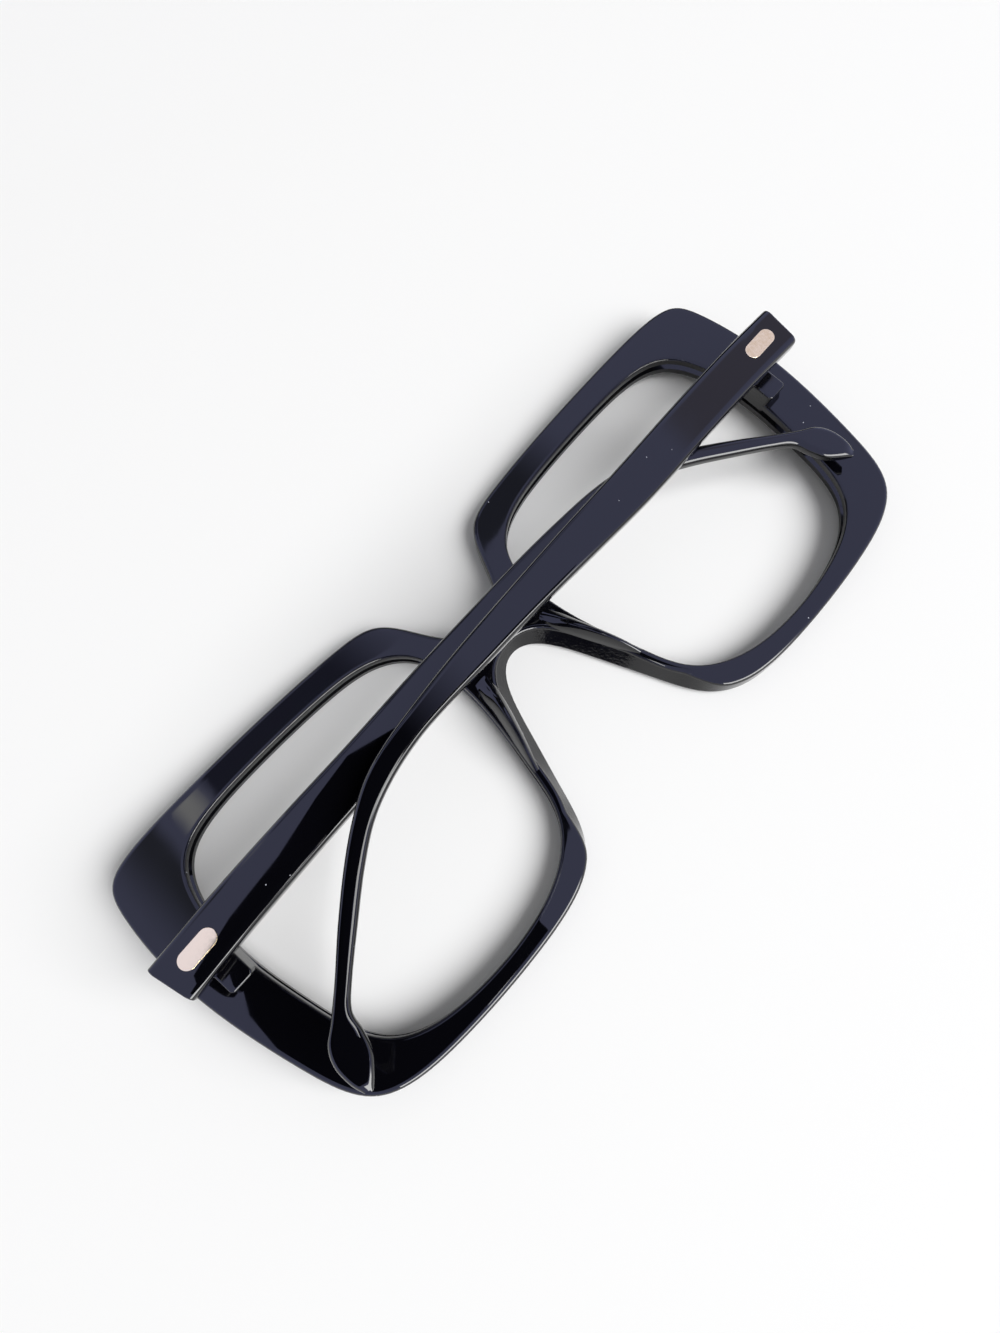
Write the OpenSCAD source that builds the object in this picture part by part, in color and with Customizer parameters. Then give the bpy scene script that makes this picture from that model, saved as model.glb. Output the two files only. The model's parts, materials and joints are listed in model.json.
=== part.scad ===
// Eyeglass frame in thick acetate, lying on its front face with both temples folded over its back.
// X runs along the width, +X to the wearer's right. +Y is the brow side. +Z points away from the table.
// The right temple folds on top, the left one lies under it, as they do when the left is folded first.

/* [Front] */
// Height of the front
frame_h = 58.6; // [56:0.2:62]
// Width of one lens opening
lens_w = 53; // [50:0.5:54]
// Height of one lens opening
lens_h = 50.4; // [46:0.2:52]
// Width of the rim at the temple side
end_w = 8.9; // [8:0.1:10.5]
// How far the openings sit below the middle of the front
lens_drop = 1; // [0:0.1:2]
// Distance between the two openings
bridge_w = 21.2; // [19:0.2:24]
// Height of the brow edge at the middle of the bridge
bridge_top = 12.3; // [10:0.1:15]
// Height of the nose edge at the middle of the bridge
bridge_bottom = 5.5; // [4:0.1:7]
// Thickness of the acetate sheet
sheet_t = 4.2; // [3.6:0.1:5]
// How much the ends are lifted by the curve of the front
front_rise = 2.65; // [1.5:0.05:3.5]
// Radius of the polished edges of the front
edge_r = 0.9; // [0.4:0.1:1.2]
// Slope of the nose sides, as the set-back of their rear edge
nose_splay = 1.7; // [0.8:0.1:2.2]

/* [Lens groove] */
// Width of the groove at the wall of the opening
groove_w = 1.3; // [0.9:0.1:1.8]
// Depth of the groove
groove_d = 0.8; // [0.4:0.1:1]

/* [Nose pads] */
// Height of the ridge of a nose pad above the back of the front
pad_h = 3; // [1.5:0.1:4]
// Length of a nose pad along the nose
pad_l = 17; // [12:0.5:18]

/* [Temples] */
// Height of a temple at its hinge
temple_h = 7.7; // [7:0.1:9]
// Thickness of a temple at its hinge
temple_t = 3.9; // [3.6:0.1:4.3]
// Thickness of a temple where it bends behind the ear
bend_t = 3.1; // [2.8:0.1:3.4]
// Thickness of the tip
tip_t = 2.5; // [2:0.1:2.8]
// Length of the straight arm, from the butt to the bend
arm_l = 94.6; // [88:0.2:98]
// Length of the ear part, measured along the frame
ear_l = 39.2; // [35:0.2:43]
// How far the tip drops below the top edge of the arm
ear_drop = 32.5; // [28:0.5:37]
// Radius of the polished edges of a temple
temple_r = 1.1; // [0.5:0.1:1.3]
// Tilt of the hinges, which points the open temples down towards the ears
pantoscopic = 8; // [2:0.5:10]
// Angle of an open temple from flat against the front
open_angle = 90; // [86:1:94]
// Rest angle of the right temple, which lies on top
fold_over = 2.3; // [2.3:0.05:4]
// Rest angle of the left temple, which lies underneath
fold_under = -1.5; // [-1.9:0.05:-1.5]
// Lean of the right temple in its own plane, far end towards the brow
lean_right = -0.6; // [-1:0.1:1]
// Lean of the left temple, which its hinge was set at
lean_left = 2; // [-1:0.1:2.5]

/* [Hinges] */
// Distance from the pin to the outer face of the temple
pin_to_face = 5.7; // [5.5:0.1:6.2]
// How far the outer face of an open temple stands inside the end of the front
end_inset = 0.7; // [0.2:0.1:1]
// Height of the pin above the table
pin_z = 11.3; // [10.9:0.1:11.8]
// Place of the hinge up the front, at the middle of the pin
hinge_y = 6.6; // [3:0.1:9]
// Radius of a knuckle
knuckle_r = 1.5; // [1.3:0.05:1.6]
// Length of one knuckle
knuckle_l = 1.1; // [0.9:0.05:1.2]
// Radius of the hinge screw
screw_r = 0.6; // [0.5:0.05:0.7]
// Radius of the screw's head
head_r = 1.15; // [1:0.05:1.3]
// Thickness of the screw's head
head_t = 0.55; // [0.4:0.05:0.6]
// Thickness of a hinge plate
plate_t = 0.9; // [0.7:0.05:1]
// Length of the plate let into a temple
temple_plate_l = 9; // [7:0.5:14]
// Height of the hinge plates
plate_w = 5.4; // [4:0.1:5.6]
// Radius of the anchor studs under a plate
stud_r = 0.6; // [0.4:0.05:0.8]
// Height of the acetate block that carries a hinge, measured up the front
block_w = 12; // [9:0.2:13]
// How much further the block reaches down the front than up it
block_drop = 0.9; // [0:0.1:1.2]

/* [Core wires] */
// Width of the flat wire inside a temple
core_w = 1.8; // [1.2:0.1:2]
// Thickness of that wire
core_t = 1; // [0.7:0.05:1.2]

/* [Inlays] */
// Length of the metal inlay on a temple
inlay_l = 6.6; // [4:0.2:8]
// Width of the metal inlay
inlay_w = 2.8; // [1.6:0.1:3.6]
// Distance from the butt of the temple to the middle of the inlay
inlay_at = 6.8; // [6:0.2:20]
// Depth that the inlay is let into the temple
inlay_depth = 0.5; // [0.3:0.05:0.7]

/* [Hidden] */

// Running gap between parts that turn on each other, and seat gap round parts that are let in
run_gap = 0.06;
seat_gap = 0.02;
// Overlap of a cutting shape past the face that it cuts
cut = 1;
half_w = bridge_w / 2 + lens_w + end_w;
half_h = frame_h / 2;
nose_x = bridge_w / 2;
lens_mid = [nose_x + lens_w / 2, -lens_drop];

// Shape of a lens opening, as control points in shares of its width and height
LENS_SHAPE = [
    [0.51, 0.11], [0.49, 0.36], [0.40, 0.49], [0.12, 0.505], [-0.20, 0.495], [-0.39, 0.46], [-0.51, 0.33],
    [-0.50, 0.05], [-0.44, -0.18], [-0.40, -0.38], [-0.19, -0.505], [0.17, -0.505], [0.41, -0.415], [0.465, -0.14]
];
lens_points = [for (p = LENS_SHAPE) lens_mid + [p.x * lens_w, p.y * lens_h]];

// Rim of the right half from its nose side round to the brow, in shares of its width and of the half height
RIM_SHAPE = [
    [-0.024, -0.249], [0.029, -0.539], [0.074, -0.809], [0.174, -0.976], [0.388, -1.01], [0.641, -0.997],
    [0.872, -0.918], [0.932, -0.536], [1.01, 0.205], [0.994, 0.785], [0.96, 0.969], [0.737, 1], [0.407, 0.997],
    [0.139, 0.959], [0.021, 0.911], [-0.032, 0.683]
];
// Right half of the outline, from the nose edge of the bridge round the rim to its brow edge
half_outline = concat(
    [[0.226 * nose_x, bridge_bottom + 0.3], [0.566 * nose_x, bridge_bottom - 0.4 * nose_x]],
    [for (p = RIM_SHAPE) [nose_x + p.x * (half_w - nose_x), p.y * half_h]],
    [[0.566 * nose_x, bridge_top + 0.217 * nose_x], [0.189 * nose_x, bridge_top - 0.3]]
);
outline_n = len(half_outline);
outline_points = concat(half_outline, [for (i = [outline_n - 1:-1:0]) [-half_outline[i].x, half_outline[i].y]]);

// Smooth closed curve near its control points, and its value at one place
function smooth_at(p, t) =
    let (n = len(p), i = floor(t), f = t - i, a = p[i % n], b = p[(i + 1) % n], c = p[(i + 2) % n], d = p[(i + 3) % n])
    (pow(1 - f, 3) * a + (3 * f * f * f - 6 * f * f + 4) * b + (-3 * f * f * f + 3 * f * f + 3 * f + 1) * c
        + f * f * f * d) / 6;
function closed_curve(p, steps) = [for (i = [0:steps - 1]) smooth_at(p, i * len(p) / steps)];

// Smooth open curve that passes through its points
function through_at(p, t) =
    let (n = len(p) - 1, i = min(floor(t), n - 1), f = t - i, a = p[max(i - 1, 0)], b = p[i], c = p[i + 1],
        d = p[min(i + 2, n)])
    b + f * ((c - a) / 2 + f * ((2 * a - 5 * b + 4 * c - d) / 2 + f * (3 * b - a - 3 * c + d) / 2));

// Place where the ray from a point along a direction meets a curve round it, with the inward normal there
function ray_hit(curve, from, d) =
    let (n = len(curve))
    [for (i = [0:n - 1])
        let (p = curve[i] - from, q = curve[(i + 1) % n] - from, s = cross(d, p), e = cross(d, q))
        if (s <= 0 && e > 0)
            let (hit = p + (q - p) * s / (s - e), v = (q - p) / norm(q - p))
            if (hit * d > 0) [from + hit, [-v.y, v.x]]][0];

// The front is a section swept round each opening, with its outer end on the outline or on the middle plane
lens_curve = closed_curve(lens_points, 84);
seam_steps = 3;
rim_steps = 4 * outline_n;
column_n = rim_steps + seam_steps;
function rim_at(j) = smooth_at(outline_points, 2 * outline_n - 1.5 + outline_n * j / rim_steps);
seam_low = rim_at(0);
seam_high = rim_at(rim_steps);

function lift(x) = front_rise * x * x / half_w / half_w;
function smooth_step(a, b, x) = let (t = min(max((x - a) / (b - a), 0), 1)) t * t * (3 - 2 * t);

// Outer end of the section in one column: its place and the direction into the sheet
function outer_end(i) =
    let (j = i - seam_steps, v = rim_at(j + 0.3) - rim_at(j - 0.3))
    i == 0 ? [[0, seam_high.y], [0, -1]]
    : i == seam_steps ? [[0, seam_low.y], [0, 1]]
    : i < seam_steps ? [[0, seam_high.y + (seam_low.y - seam_high.y) * i / seam_steps], [0, 0]]
    : [rim_at(j), [-v.y, v.x] / norm(v)];

// Set-back of the rear edge: full along the nose, less under the bridge, none elsewhere
splay_from = nose_x + 1;
splay_to = splay_from + 0.13 * lens_w;
function splay_at(p) =
    p.y > bridge_bottom + 1 ? 0
    : nose_splay * (1 - smooth_step(splay_from, splay_to, p.x)) * (0.5 + 0.5 * smooth_step(0, nose_x / 2, p.x));

// Section of the rim: each point is its set-back from the wall of the opening or of the outline, and its height
groove_z = sheet_t / 2;
lens_side = [
    [edge_r * 0.6, 0], [0, edge_r * 0.6], [0, groove_z - groove_w / 2], [groove_d, groove_z],
    [0, groove_z + groove_w / 2], [0, sheet_t - edge_r * 0.7], [edge_r * 0.2, sheet_t - edge_r * 0.2],
    [edge_r * 0.7, sheet_t]
];
out_side = [
    [edge_r, sheet_t], [edge_r * 0.29, sheet_t - edge_r * 0.29], [0, sheet_t - edge_r],
    [0, edge_r], [edge_r * 0.29, edge_r * 0.29], [edge_r, 0]
];
section_n = len(lens_side) + len(out_side);

function rim_column(i) =
    let (end = outer_end(i), hit = ray_hit(lens_curve, lens_mid, end[0] - lens_mid), splay = splay_at(end[0]))
    concat(
        [for (s = lens_side) let (p = hit[0] - hit[1] * s.x) [p.x, p.y, s.y]],
        [for (s = out_side)
            let (p = end[0] + end[1] * (s.x + splay * min(max((s.y - edge_r) / (sheet_t - 2 * edge_r), 0), 1)))
            [p.x, p.y, s.y]]
    );

module front_plate() {
    columns = [for (i = [0:column_n - 1]) rim_column(i)];
    n = column_n;
    m = section_n;
    flat = [for (c = columns) each c];
    points = [
        for (side = [1, -1]) for (p = flat) [side * p.x, p.y, p.z + lift(p.x)]
    ];
    // The points on the middle plane are shared by both halves, whose walls stay open there
    function at(side, i, j) = i % n * m + j % m + (side == 1 || (i % n <= seam_steps && j % m >= len(lens_side)) ? 0 : n * m);
    faces = [
        for (side = [0, 1]) for (i = [0:n - 1]) for (j = [0:m - 1])
            if (i >= seam_steps || j < len(lens_side) || j == m - 1)
                let (a = at(1 - side, i, j), b = at(1 - side, i + 1, j), c = at(1 - side, i + 1, j + 1),
                    d = at(1 - side, i, j + 1))
                each side == 0 ? [[a, b, c], [a, c, d]] : [[c, b, a], [d, c, a]]
    ];
    polyhedron(points, faces, convexity = 6);
}

// Solid through a list of rings that all have the same number of points
module loft(rings) {
    n = len(rings);
    m = len(rings[0]);
    polyhedron(
        [for (r = rings) each r],
        concat(
            [[for (j = [0:m - 1]) j]],
            [for (i = [0:n - 2]) for (j = [0:m - 1])
                each [[i * m + j, (i + 1) * m + j, i * m + (j + 1) % m],
                    [i * m + (j + 1) % m, (i + 1) * m + j, (i + 1) * m + (j + 1) % m]]],
            [[for (j = [m - 1:-1:0]) (n - 1) * m + j]]
        ),
        convexity = 4
    );
}

// Rectangle with round corners, as points
function round_rect(x0, x1, y0, y1, r) = [
    for (c = [[x1 - r, y1 - r, 0], [x0 + r, y1 - r, 90], [x0 + r, y0 + r, 180], [x1 - r, y0 + r, 270]])
        for (a = [0:30:90]) [c.x + r * cos(c.z + a), c.y + r * sin(c.z + a)]
];

// Hinge frame: the pin lies on Y, Z points out of the folded temple's outer face, X runs to the butt
temple_in = pin_to_face - temple_t;
pin_x = half_w - end_inset - pin_to_face;
module at_hinge(side) {
    if (side > 0) translate([pin_x, hinge_y, pin_z]) rotate([pantoscopic, 0, 0]) children();
    else mirror([1, 0, 0]) at_hinge(1) children();
}
// The same frame, turned by the lean that the hinge was set at
module at_pin(side) {
    at_hinge(side) rotate([0, 0, side > 0 ? -lean_right : -lean_left]) children();
}
module at_temple(side) {
    at_pin(side) rotate([0, side > 0 ? fold_over : fold_under, 0]) children();
}

// Height above the back face of the front at the hinge, and the butt's reach that meets it when open
back_z = lift(pin_x + pin_to_face - temple_t / 2) + sheet_t;
butt_reach = (pin_z - back_z) / cos(pantoscopic) - run_gap;
butt_top = butt_reach + temple_h / 2 * tan(pantoscopic);

// Acetate block on the back of the front, under the hinge, with its top level with the pin
block_top = -knuckle_r - 0.3;
block_in = -(pin_x - lens_mid.x - lens_w / 2) - 0.3;
block_out = temple_in - 0.25;
block_r = 0.8;
module hinge_block() {
    // Each ring: its height in the hinge frame, and how far it is drawn in from the full size
    rings = [[back_z - pin_z - 1.6, 0], [block_top - 0.6, 0], [block_top - 0.18, 0.16], [block_top, 0.55]];
    loft([for (r = rings)
        [for (p = round_rect(block_in + r.y, block_out - r.y, -block_w / 2 + r.y, block_w / 2 - r.y, block_r))
            [p.x, p.y - block_drop, r.x]]]);
}

// Plate of the front leaf, where it is let into the block
front_plate_x = [block_in + 0.9, block_out - 0.35];
stud_x = (front_plate_x[0] + front_plate_x[1]) / 2 - 0.4;
stud_y = plate_w / 2 - 1;
stud_l = 2;
module front_leaf_foot(gap) {
    translate([front_plate_x[0] - gap, -plate_w / 2 - gap, block_top - plate_t])
        cube([front_plate_x[1] - front_plate_x[0] + 2 * gap, plate_w + 2 * gap, plate_t + (gap > 0 ? cut : 0)]);
    for (y = [-stud_y, stud_y])
        translate([stud_x, y, block_top - plate_t - stud_l])
            cylinder(r = stud_r + gap, h = stud_l + plate_t / 2, $fn = 24);
}

module front() {
    color("#15161a")
    difference() {
        union() {
            front_plate();
            for (side = [1, -1]) at_hinge(side) hinge_block();
        }
        for (side = [1, -1]) at_pin(side) front_leaf_foot(seat_gap);
    }
}

// Knuckles: five on the pin, three of the front leaf and two of the temple leaf between them
stack_l = 5 * knuckle_l + 4 * run_gap;
function knuckle_y(k) = -stack_l / 2 + k * (knuckle_l + run_gap);
module knuckle(k) {
    translate([0, knuckle_y(k), 0]) rotate([-90, 0, 0]) cylinder(r = knuckle_r, h = knuckle_l, $fn = 48);
}
module pin_bore() {
    translate([0, -stack_l / 2 - cut, 0]) rotate([-90, 0, 0])
        cylinder(r = screw_r + seat_gap, h = stack_l + 2 * cut, $fn = 32);
}

module front_leaf(side) {
    color("#b9b4a8")
    at_pin(side) difference() {
        union() {
            front_leaf_foot(0);
            for (k = [0, 2, 4]) {
                knuckle(k);
                translate([-knuckle_r, knuckle_y(k), block_top])
                    cube([knuckle_r + temple_in - 0.3, knuckle_l, -block_top]);
            }
        }
        pin_bore();
    }
}

// Temple leaf: a plate let into the inner face, with arms to its two knuckles
arm_start = -knuckle_r - 0.3;
module temple_leaf_foot(gap) {
    translate([arm_start - temple_plate_l - gap, -plate_w / 2 - gap, temple_in - (gap > 0 ? cut : 0)])
        cube([temple_plate_l + 2 * gap, plate_w + 2 * gap, plate_t + (gap > 0 ? cut + gap : 0)]);
    for (x = [0.25, 0.75])
        translate([arm_start - temple_plate_l * x, 0, temple_in + plate_t / 2])
            cylinder(r = stud_r + gap, h = plate_t / 2 + 0.8, $fn = 24);
}
module temple_leaf(side) {
    color("#b9b4a8")
    at_temple(side) difference() {
        union() {
            temple_leaf_foot(0);
            for (k = [1, 3]) {
                knuckle(k);
                translate([arm_start - 0.5, knuckle_y(k), 0])
                    cube([-arm_start + 0.5, knuckle_l, temple_in + plate_t]);
            }
        }
        pin_bore();
    }
}

// Screw: a plain shank through the knuckles and a slotted cheese head on the brow side
module hinge_screw(side) {
    color("#c9c5ba")
    at_pin(side) difference() {
        union() {
            translate([0, -stack_l / 2, 0]) rotate([-90, 0, 0]) cylinder(r = screw_r, h = stack_l, $fn = 32);
            translate([0, stack_l / 2, 0]) rotate([-90, 0, 0]) cylinder(r = head_r, h = head_t, $fn = 48);
        }
        translate([-head_r - cut, stack_l / 2 + head_t * 0.5, -0.15])
            cube([2 * (head_r + cut), head_t, 0.3]);
    }
}

// Temple: top and bottom edges through stations from the butt to the tip, where x runs along the temple
bend_u = arm_l;
tip_u = arm_l + ear_l;
TOP_ARM = [
    [0, 0], [0.134, 0.4], [0.287, 0.35], [0.44, 0.05], [0.593, -0.05], [0.735, -0.4], [0.857, -0.8], [0.959, -1.5]
];
LOW_ARM = [
    [0, 0], [0.134, 0.4], [0.287, 0.5], [0.43, 0.45], [0.572, 1.1], [0.715, 1.8], [0.837, 2.05], [0.939, 2.25]
];
TOP_EAR = [
    [0.09, 0.073], [0.24, 0.118], [0.375, 0.2], [0.513, 0.309], [0.663, 0.448], [0.8, 0.588], [0.9, 0.682],
    [0.965, 0.739], [0.998, 0.812], [1.003, 0.903], [0.993, 0.97]
];
LOW_EAR = [
    [0.012, 0.176], [0.17, 0.209], [0.318, 0.27], [0.465, 0.376], [0.62, 0.512], [0.753, 0.633], [0.83, 0.718],
    [0.85, 0.803], [0.878, 0.888], [0.923, 0.948], [0.965, 0.99]
];
top_edge = concat(
    [for (p = TOP_ARM) [p.x * arm_l, p.y]],
    [for (p = TOP_EAR) [bend_u + p.x * ear_l, -p.y * ear_drop]]
);
low_edge = concat(
    [for (p = LOW_ARM) [p.x * arm_l, p.y - temple_h]],
    [for (p = LOW_EAR) [bend_u + p.x * ear_l, -p.y * ear_drop]]
);
station_n = len(top_edge) - 1;

function thickness_at(u) =
    u < bend_u ? temple_t + (bend_t - temple_t) * smooth_step(0, bend_u, u)
    : bend_t + (tip_t - bend_t) * smooth_step(bend_u, tip_u - 4, u);

// The butt is mitred so that the open temple seats flat on the back of the front
butt_slope = atan(2 * front_rise * (pin_x + pin_to_face) / half_w / half_w) + open_angle - 90;
function butt_cut(w, n) = -w * tan(pantoscopic) + (n - temple_in) * tan(butt_slope);

// One ring of the temple at a place along its stations, thinner over the rounded end of the tip
temple_steps = 3;
function temple_ring(t, inset) =
    let (a = through_at(top_edge, t), b = through_at(low_edge, t), mid = (a + b) / 2, v = (a - b) / norm(a - b),
        ease = 0.75 * pow(smooth_step(station_n - 1.4, station_n, t), 2), h = norm(a - b) / 2 - inset,
        th = thickness_at(mid.x) - 2 * ease, r = min(temple_r, h * 0.8, th * 0.42), z1 = pin_to_face - ease,
        fade = 1 - smooth_step(0, 1, t))
    [for (p = round_rect(z1 - th + inset / 2, z1 - inset / 2, -h, h, r))
        let (q = mid + v * p.y) [butt_top - q.x - fade * butt_cut(q.y, p.x), temple_h / 2 + q.y, p.x]];
// Polished edge of the butt: place of each ring along the first station, and how far it is drawn in
BUTT_EDGE = [[0, 0.6], [0.01, 0.3], [0.03, 0.1]];
module temple_shell() {
    loft(concat(
        [for (e = BUTT_EDGE) temple_ring(e[0], e[1])],
        [for (i = [0:station_n * temple_steps]) temple_ring(max(i / temple_steps, 0.07), 0)]
    ));
}

// Core wire along the middle of the temple: it starts against the hinge plate and ends short of the tip
core_start_u = butt_top - arm_start + temple_plate_l;
core_from = core_start_u / (TOP_ARM[1].x * arm_l);
core_to = station_n - 3.5;
core_steps = 34;
function core_ring(t, gap) =
    let (a = (through_at(top_edge, t) + through_at(low_edge, t)) / 2,
        b = (through_at(top_edge, t + 0.02) + through_at(low_edge, t + 0.02)) / 2, v = (b - a) / norm(b - a),
        w = [-v.y, v.x], rise = smooth_step(core_from, core_from + 1, t),
        z = (1 - rise) * (temple_in + plate_t - core_t / 2) + rise * (pin_to_face - thickness_at(a.x) / 2),
        r = core_t * 0.3)
    [for (p = round_rect(z - core_t / 2 - gap, z + core_t / 2 + gap, -core_w / 2 - gap, core_w / 2 + gap, r))
        let (q = a + w * p.y) [butt_top - q.x, temple_h / 2 + q.y, p.x]];
module core_wire(gap) {
    places = [for (i = [0:core_steps]) core_from + (core_to - core_from) * i / core_steps];
    more = 0.03;
    loft([for (t = gap > 0 ? concat([core_from - more], places, [core_to + more]) : places) core_ring(t, gap)]);
}

module stadium(l, w, h) {
    linear_extrude(h) union() {
        square([l - w, w], center = true);
        for (x = [-1, 1]) translate([x * (l - w) / 2, 0]) circle(d = w, $fn = 48);
    }
}
module inlay_seat(gap) {
    translate([butt_top - inlay_at, (through_at(top_edge, 1).y + through_at(low_edge, 1).y + temple_h) / 2,
        pin_to_face - inlay_depth])
        stadium(inlay_l + 2 * gap, inlay_w + 2 * gap, inlay_depth + (gap > 0 ? cut : 0.12));
}

module temple(side) {
    color("#15161a")
    at_temple(side) difference() {
        temple_shell();
        temple_leaf_foot(seat_gap);
        core_wire(seat_gap);
        inlay_seat(seat_gap);
        // Slot for the arms that carry the knuckles
        translate([arm_start - seat_gap, -stack_l / 2 - 0.2, -cut])
            cube([-arm_start + 2 * seat_gap, stack_l + 0.4, temple_in + plate_t + cut + seat_gap]);
    }
}
module temple_core(side) {
    color("#8f8f8c") at_temple(side) core_wire(0);
}
module temple_inlay(side) {
    color("#e3c3a0") at_temple(side) inlay_seat(0);
}

// Nose pad: a ridge of acetate bonded to the back of the rim along the nose
PAD_SHAPE = [
    [0, -3.9, -1.5, 0.1], [0.15, -3.7, -0.5, 0.5], [0.32, -2.9, 0.1, 0.9], [0.55, -1.4, 1.1, 1],
    [0.78, 0.3, 2.2, 0.75], [1, 2.2, 3.1, 0.1]
];
pad_top_y = bridge_bottom + 0.2;
function pad_ring(t) =
    let (s = through_at(PAD_SHAPE, t), y = pad_top_y - s[0] * pad_l, a = nose_x + s[1], b = nose_x + s[2], w = b - a,
        h = pad_h * s[3], z = sheet_t + lift(b) + seat_gap)
    [for (p = [[a, 0], [a + 0.10 * w, 0.45 * h], [a + 0.28 * w, 0.85 * h], [a + 0.45 * w, h], [a + 0.62 * w, 0.93 * h],
        [a + 0.82 * w, 0.6 * h], [b, 0]]) [p.x, y, z + p.y]];
module nose_pad(side) {
    color("#17181c")
    mirror([side > 0 ? 0 : 1, 0, 0])
        loft([for (i = [15:-1:0]) pad_ring(i / 3)]);
}

front();
nose_pad(1);  // nose_pad_right
nose_pad(-1);  // nose_pad_left
front_leaf(1);  // hinge_front_leaf_right
front_leaf(-1);  // hinge_front_leaf_left
temple_leaf(1);  // hinge_temple_leaf_right
temple_leaf(-1);  // hinge_temple_leaf_left
hinge_screw(1);  // hinge_screw_right
hinge_screw(-1);  // hinge_screw_left
temple(1);  // temple_right
temple(-1);  // temple_left
temple_core(1);  // temple_core_right
temple_core(-1);  // temple_core_left
temple_inlay(1);  // temple_inlay_right
temple_inlay(-1);  // temple_inlay_left
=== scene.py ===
"""Looks of an eyeglass frame in black acetate, lying folded on a white table."""

import json
import math

import bpy
import numpy as np
from mathutils import Matrix, Vector

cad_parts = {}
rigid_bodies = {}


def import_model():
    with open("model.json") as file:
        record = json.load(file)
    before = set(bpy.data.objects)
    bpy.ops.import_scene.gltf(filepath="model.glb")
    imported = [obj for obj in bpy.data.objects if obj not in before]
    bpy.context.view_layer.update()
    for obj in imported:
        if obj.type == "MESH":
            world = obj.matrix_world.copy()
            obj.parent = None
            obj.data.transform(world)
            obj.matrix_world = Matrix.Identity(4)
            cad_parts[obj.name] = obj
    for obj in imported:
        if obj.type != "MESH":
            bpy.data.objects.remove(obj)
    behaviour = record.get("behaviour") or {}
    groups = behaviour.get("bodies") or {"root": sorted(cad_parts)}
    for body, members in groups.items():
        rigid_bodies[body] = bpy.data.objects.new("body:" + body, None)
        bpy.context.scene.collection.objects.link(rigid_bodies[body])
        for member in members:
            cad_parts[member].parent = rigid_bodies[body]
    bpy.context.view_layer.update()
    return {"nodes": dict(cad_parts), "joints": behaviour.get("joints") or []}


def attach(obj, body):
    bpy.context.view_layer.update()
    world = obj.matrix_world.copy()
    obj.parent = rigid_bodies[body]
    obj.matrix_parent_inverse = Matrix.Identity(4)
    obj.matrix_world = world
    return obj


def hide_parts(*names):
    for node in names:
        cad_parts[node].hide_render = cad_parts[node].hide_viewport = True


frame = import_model()

MM = 0.001

# Front, in millimetres: the sizes of the sheet that it is cut from
SHEET_T = 4.2
FRONT_RISE = 2.65
END_W = 8.9
FRAME_H = 58.6
LENS_W = 53.0
LENS_H = 50.4
LENS_DROP = 1.0
BRIDGE_W = 21.2
BRIDGE_TOP = 12.3
BRIDGE_BOTTOM = 5.5
EDGE_R = 0.9
NOSE_SPLAY = 1.7
SPLAY_MARGIN = 1.0
SPLAY_FADE = 0.13 * LENS_W
GROOVE_W = 1.3
GROOVE_D = 0.8
HALF_W = BRIDGE_W / 2 + LENS_W + END_W
HALF_H = FRAME_H / 2
NOSE_X = BRIDGE_W / 2
LENS_MID = np.array([NOSE_X + LENS_W / 2, -LENS_DROP])

# Least flat that stays between two rounded edges, in millimetres
CLEAR = 0.15
# Points on a lens opening, columns to each point of the outline, and columns on the middle plane
LENS_SAMPLES = 2400
RIM_STEPS = 12
SEAM_STEPS = 8
# Point from which the whole outline of one half is seen, with no part of it behind another
HUB = LENS_MID + np.array([-3.0, 11.0])

# Temples, in millimetres and degrees
TEMPLE_H = 7.7
TEMPLE_T = 3.9
BEND_T = 3.1
TIP_T = 2.5
TIP_FLAT = 4.0
TIP_EASE = 0.75
ARM_L = 94.6
EAR_L = 39.2
EAR_DROP = 32.5
TEMPLE_R = 1.1
BUTT_R = 0.6

# Hinges, in millimetres and degrees
PIN_TO_FACE = 5.7
PANTOSCOPIC = 8.0
FOLD_OVER = 2.3
FOLD_UNDER = -1.5
RUN_GAP = 0.06
SEAT_GAP = 0.02
SLOT_GAP = 0.2
KNUCKLE_R = 1.5
KNUCKLE_L = 1.1
KNUCKLE_N = 5
KNUCKLE_CLEAR = 0.3
PLATE_T = 0.9
PLATE_W = 5.4
TEMPLE_PLATE_L = 9.0
STACK_L = KNUCKLE_N * KNUCKLE_L + (KNUCKLE_N - 1) * RUN_GAP

# Blocks that carry the hinges, in millimetres
BLOCK_W = 12.0
BLOCK_DROP = 0.9
BLOCK_LAP = 0.3
BLOCK_GAP = 0.25
BLOCK_SINK = 1.6
BLOCK_R = 0.8
BLOCK_TOP_R = 0.5
PLATE_FROM_LENS = 0.9
PLATE_FROM_TEMPLE = 0.35

# Inlays, in millimetres
INLAY_L = 6.6
INLAY_W = 2.8
INLAY_AT = 6.8
INLAY_DEPTH = 0.5
INLAY_PROUD = 0.12
INLAY_EDGE_R = 0.08

# Lens opening and rim of the right half of the front, as shares of their widths and heights
LENS_SHAPE = [
    (0.51, 0.11), (0.49, 0.36), (0.40, 0.49), (0.12, 0.505), (-0.20, 0.495), (-0.39, 0.46), (-0.51, 0.33),
    (-0.50, 0.05), (-0.44, -0.18), (-0.40, -0.38), (-0.19, -0.505), (0.17, -0.505), (0.41, -0.415),
    (0.465, -0.14),
]
LENS_POINTS = [LENS_MID + np.array([x * LENS_W, y * LENS_H]) for x, y in LENS_SHAPE]
RIM_SHAPE = [
    (-0.024, -0.249), (0.029, -0.539), (0.074, -0.809), (0.174, -0.976), (0.388, -1.01), (0.641, -0.997),
    (0.872, -0.918), (0.932, -0.536), (1.01, 0.205), (0.994, 0.785), (0.96, 0.969), (0.737, 1),
    (0.407, 0.997), (0.139, 0.959), (0.021, 0.911), (-0.032, 0.683),
]
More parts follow.
